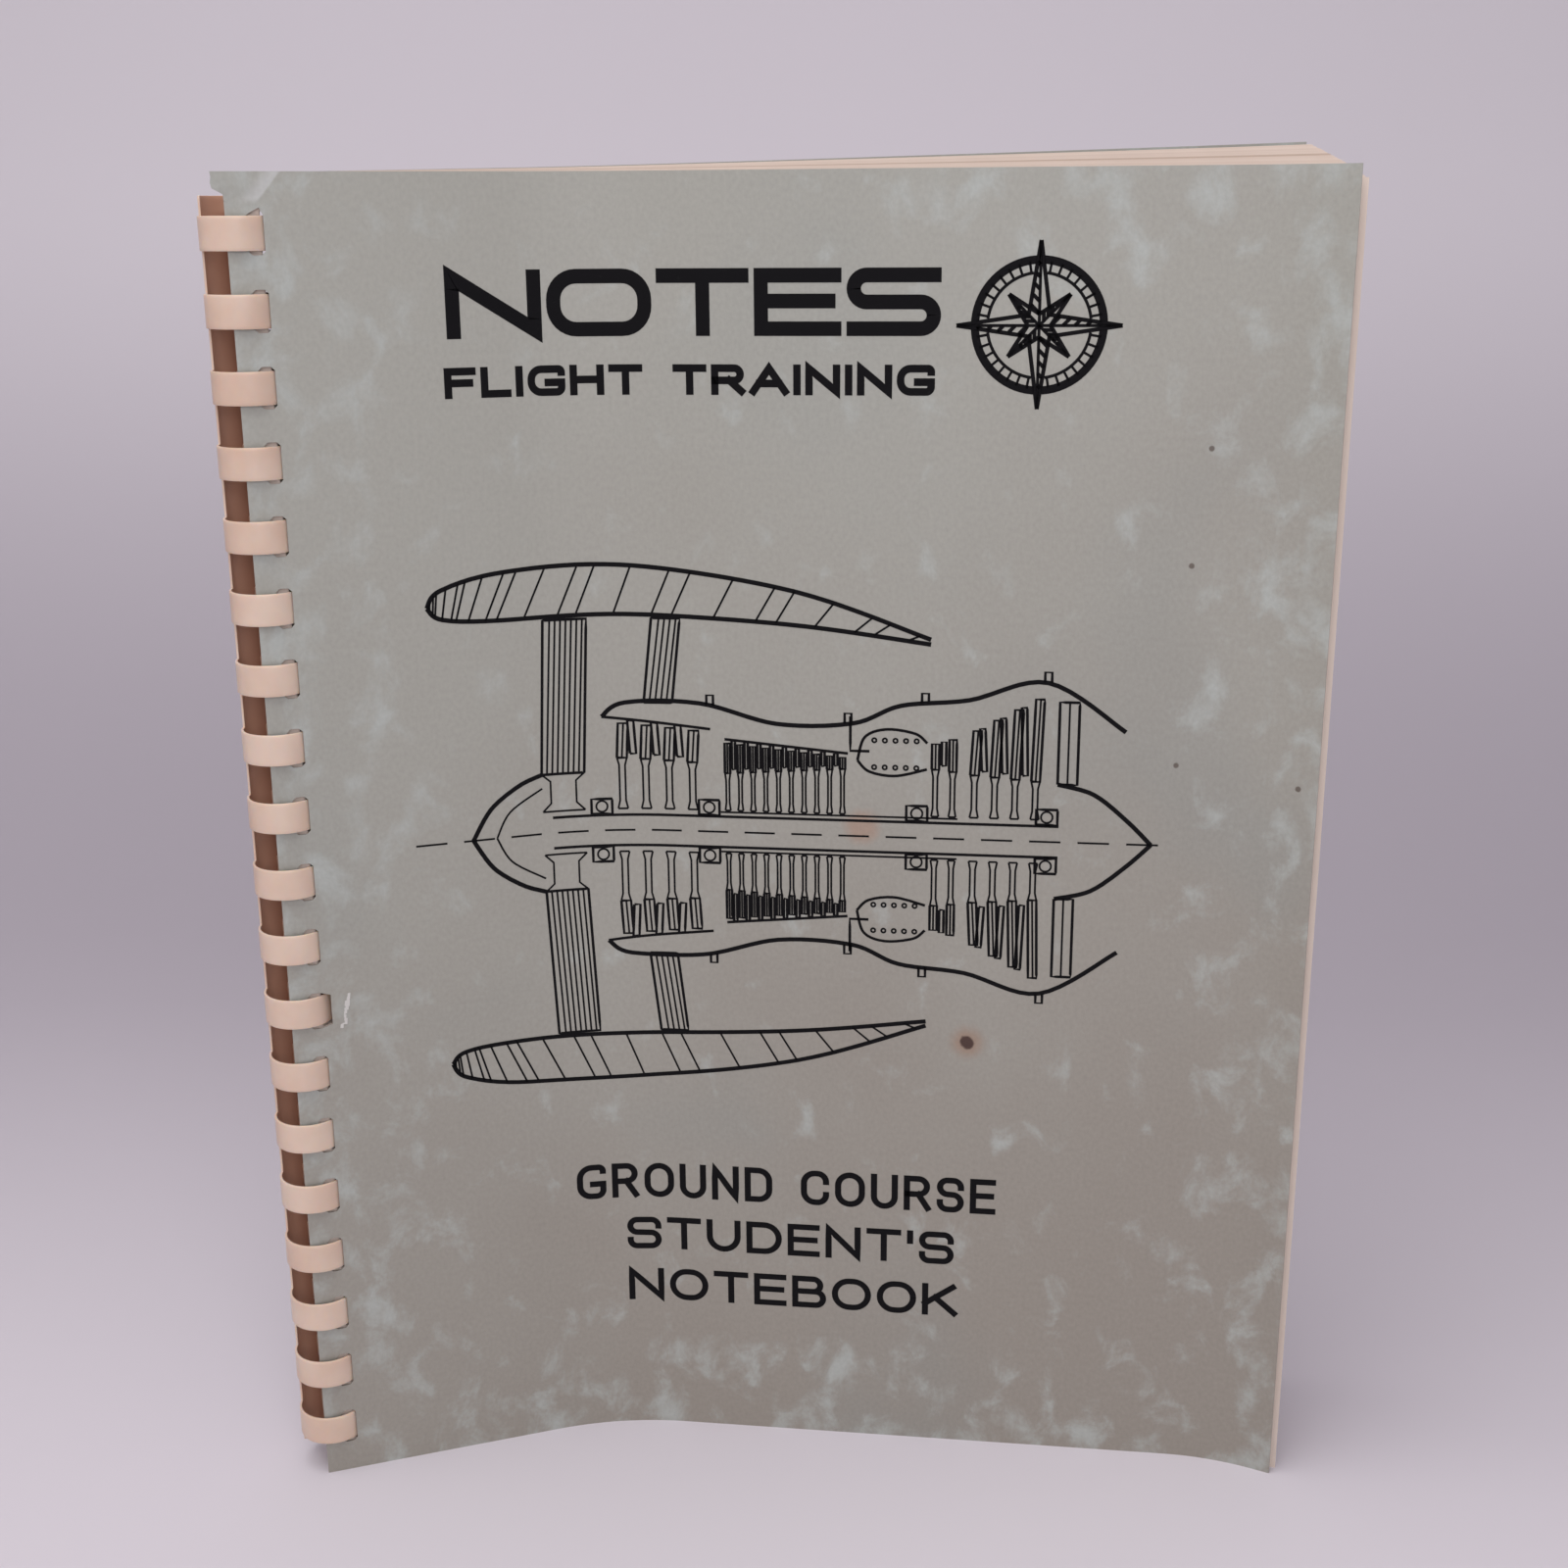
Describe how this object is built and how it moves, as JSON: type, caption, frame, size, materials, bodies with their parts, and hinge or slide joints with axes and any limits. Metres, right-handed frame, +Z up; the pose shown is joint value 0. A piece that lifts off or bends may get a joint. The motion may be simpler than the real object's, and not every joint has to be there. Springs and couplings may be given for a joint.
{
  "type": "comb-bound training notebook",
  "caption": "Comb-bound soft-cover student notebook standing upright with bowed covers; covers and leaf bundles turn about the plastic comb binding.",
  "frame": {"origin": "centre of the bounding box's foot, on the plane that the sheets stand on", "axes": "+X to the right of the front cover seen from the front, +Y from the front cover to the back cover, +Z up along the comb"},
  "size_m": [0.22, 0.0454, 0.2794],
  "materials": {
    "comb_binding": "semi-gloss translucent pinkish PVC",
    "front_cover": "worn matt grey-green card",
    "title_leaf": "aged matt paper",
    "leaves_01": "aged matt paper",
    "leaves_02": "aged matt paper",
    "leaves_03": "aged matt paper",
    "leaves_04": "aged matt paper",
    "leaves_05": "aged matt paper",
    "leaves_06": "aged matt paper",
    "leaves_07": "aged matt paper",
    "leaves_08": "aged matt paper",
    "leaves_09": "aged matt paper",
    "leaves_10": "aged matt paper",
    "leaves_11": "aged matt paper",
    "leaves_12": "aged matt paper",
    "leaves_13": "aged matt paper",
    "leaves_14": "aged matt paper",
    "leaves_15": "aged matt paper",
    "leaves_16": "aged matt paper",
    "leaves_17": "aged matt paper",
    "leaves_18": "aged matt paper",
    "back_cover": "worn matt grey card"
  },
  "bodies": {
    "comb_binding": {"comb_binding": "comb_binding"},
    "front_cover": {"front_cover": "front_cover"},
    "title_leaf": {"title_leaf": "title_leaf"},
    "leaves_01": {"leaves_01": "leaves_01"},
    "leaves_02": {"leaves_02": "leaves_02"},
    "leaves_03": {"leaves_03": "leaves_03"},
    "leaves_04": {"leaves_04": "leaves_04"},
    "leaves_05": {"leaves_05": "leaves_05"},
    "leaves_06": {"leaves_06": "leaves_06"},
    "leaves_07": {"leaves_07": "leaves_07"},
    "leaves_08": {"leaves_08": "leaves_08"},
    "leaves_09": {"leaves_09": "leaves_09"},
    "leaves_10": {"leaves_10": "leaves_10"},
    "leaves_11": {"leaves_11": "leaves_11"},
    "leaves_12": {"leaves_12": "leaves_12"},
    "leaves_13": {"leaves_13": "leaves_13"},
    "leaves_14": {"leaves_14": "leaves_14"},
    "leaves_15": {"leaves_15": "leaves_15"},
    "leaves_16": {"leaves_16": "leaves_16"},
    "leaves_17": {"leaves_17": "leaves_17"},
    "leaves_18": {"leaves_18": "leaves_18"},
    "back_cover": {"back_cover": "back_cover"}
  },
  "joints": [
    {"name": "front_cover_hinge", "type": "hinge", "parent": "comb_binding", "child": "front_cover", "pos_m": [-0.10283, -0.01557, 0.1397], "axis": [0, 0, -1], "range_deg": [0, 120]},
    {"name": "title_leaf_hinge", "type": "hinge", "parent": "comb_binding", "child": "title_leaf", "pos_m": [-0.10283, -0.01557, 0.1397], "axis": [0, 0, -1], "range_deg": [0, 108.65]},
    {"name": "leaves_01_hinge", "type": "hinge", "parent": "comb_binding", "child": "leaves_01", "pos_m": [-0.10283, -0.01557, 0.1397], "axis": [0, 0, -1], "range_deg": [0, 97.25]},
    {"name": "leaves_02_hinge", "type": "hinge", "parent": "comb_binding", "child": "leaves_02", "pos_m": [-0.10283, -0.01557, 0.1397], "axis": [0, 0, -1], "range_deg": [0, 85.85]},
    {"name": "leaves_03_hinge", "type": "hinge", "parent": "comb_binding", "child": "leaves_03", "pos_m": [-0.10283, -0.01557, 0.1397], "axis": [0, 0, -1], "range_deg": [0, 74.45]},
    {"name": "leaves_04_hinge", "type": "hinge", "parent": "comb_binding", "child": "leaves_04", "pos_m": [-0.10283, -0.01557, 0.1397], "axis": [0, 0, -1], "range_deg": [0, 63.05]},
    {"name": "leaves_05_hinge", "type": "hinge", "parent": "comb_binding", "child": "leaves_05", "pos_m": [-0.10283, -0.01557, 0.1397], "axis": [0, 0, -1], "range_deg": [0, 51.65]},
    {"name": "leaves_06_hinge", "type": "hinge", "parent": "comb_binding", "child": "leaves_06", "pos_m": [-0.10283, -0.01557, 0.1397], "axis": [0, 0, -1], "range_deg": [0, 40.25]},
    {"name": "leaves_07_hinge", "type": "hinge", "parent": "comb_binding", "child": "leaves_07", "pos_m": [-0.10283, -0.01557, 0.1397], "axis": [0, 0, -1], "range_deg": [0, 28.85]},
    {"name": "leaves_08_hinge", "type": "hinge", "parent": "comb_binding", "child": "leaves_08", "pos_m": [-0.10283, -0.01557, 0.1397], "axis": [0, 0, -1], "range_deg": [0, 17.45]},
    {"name": "leaves_09_hinge", "type": "hinge", "parent": "comb_binding", "child": "leaves_09", "pos_m": [-0.10283, -0.01557, 0.1397], "axis": [0, 0, -1], "range_deg": [0, 6.05]},
    {"name": "back_cover_hinge", "type": "hinge", "parent": "comb_binding", "child": "back_cover", "pos_m": [-0.10283, -0.01557, 0.1397], "axis": [0, 0, 1], "range_deg": [0, 22]},
    {"name": "leaves_10_hinge", "type": "hinge", "parent": "comb_binding", "child": "leaves_10", "pos_m": [-0.10283, -0.01557, 0.1397], "axis": [0, 0, 1], "range_deg": [0, 2.25]},
    {"name": "leaves_11_hinge", "type": "hinge", "parent": "comb_binding", "child": "leaves_11", "pos_m": [-0.10283, -0.01557, 0.1397], "axis": [0, 0, 1], "range_deg": [0, 4.45]},
    {"name": "leaves_12_hinge", "type": "hinge", "parent": "comb_binding", "child": "leaves_12", "pos_m": [-0.10283, -0.01557, 0.1397], "axis": [0, 0, 1], "range_deg": [0, 6.65]},
    {"name": "leaves_13_hinge", "type": "hinge", "parent": "comb_binding", "child": "leaves_13", "pos_m": [-0.10283, -0.01557, 0.1397], "axis": [0, 0, 1], "range_deg": [0, 8.85]},
    {"name": "leaves_14_hinge", "type": "hinge", "parent": "comb_binding", "child": "leaves_14", "pos_m": [-0.10283, -0.01557, 0.1397], "axis": [0, 0, 1], "range_deg": [0, 11.05]},
    {"name": "leaves_15_hinge", "type": "hinge", "parent": "comb_binding", "child": "leaves_15", "pos_m": [-0.10283, -0.01557, 0.1397], "axis": [0, 0, 1], "range_deg": [0, 13.25]},
    {"name": "leaves_16_hinge", "type": "hinge", "parent": "comb_binding", "child": "leaves_16", "pos_m": [-0.10283, -0.01557, 0.1397], "axis": [0, 0, 1], "range_deg": [0, 15.45]},
    {"name": "leaves_17_hinge", "type": "hinge", "parent": "comb_binding", "child": "leaves_17", "pos_m": [-0.10283, -0.01557, 0.1397], "axis": [0, 0, 1], "range_deg": [0, 17.65]},
    {"name": "leaves_18_hinge", "type": "hinge", "parent": "comb_binding", "child": "leaves_18", "pos_m": [-0.10283, -0.01557, 0.1397], "axis": [0, 0, 1], "range_deg": [0, 19.85]}
  ],
  "couplings": [
    {"joint": "title_leaf_hinge", "follows": "front_cover_hinge", "ratio": 0.905},
    {"joint": "leaves_01_hinge", "follows": "front_cover_hinge", "ratio": 0.81},
    {"joint": "leaves_02_hinge", "follows": "front_cover_hinge", "ratio": 0.715},
    {"joint": "leaves_03_hinge", "follows": "front_cover_hinge", "ratio": 0.62},
    {"joint": "leaves_04_hinge", "follows": "front_cover_hinge", "ratio": 0.525},
    {"joint": "leaves_05_hinge", "follows": "front_cover_hinge", "ratio": 0.43},
    {"joint": "leaves_06_hinge", "follows": "front_cover_hinge", "ratio": 0.335},
    {"joint": "leaves_07_hinge", "follows": "front_cover_hinge", "ratio": 0.24},
    {"joint": "leaves_08_hinge", "follows": "front_cover_hinge", "ratio": 0.145},
    {"joint": "leaves_09_hinge", "follows": "front_cover_hinge", "ratio": 0.05},
    {"joint": "leaves_10_hinge", "follows": "back_cover_hinge", "ratio": 0.1},
    {"joint": "leaves_11_hinge", "follows": "back_cover_hinge", "ratio": 0.2},
    {"joint": "leaves_12_hinge", "follows": "back_cover_hinge", "ratio": 0.3},
    {"joint": "leaves_13_hinge", "follows": "back_cover_hinge", "ratio": 0.4},
    {"joint": "leaves_14_hinge", "follows": "back_cover_hinge", "ratio": 0.5},
    {"joint": "leaves_15_hinge", "follows": "back_cover_hinge", "ratio": 0.6},
    {"joint": "leaves_16_hinge", "follows": "back_cover_hinge", "ratio": 0.7},
    {"joint": "leaves_17_hinge", "follows": "back_cover_hinge", "ratio": 0.8},
    {"joint": "leaves_18_hinge", "follows": "back_cover_hinge", "ratio": 0.9}
  ]
}
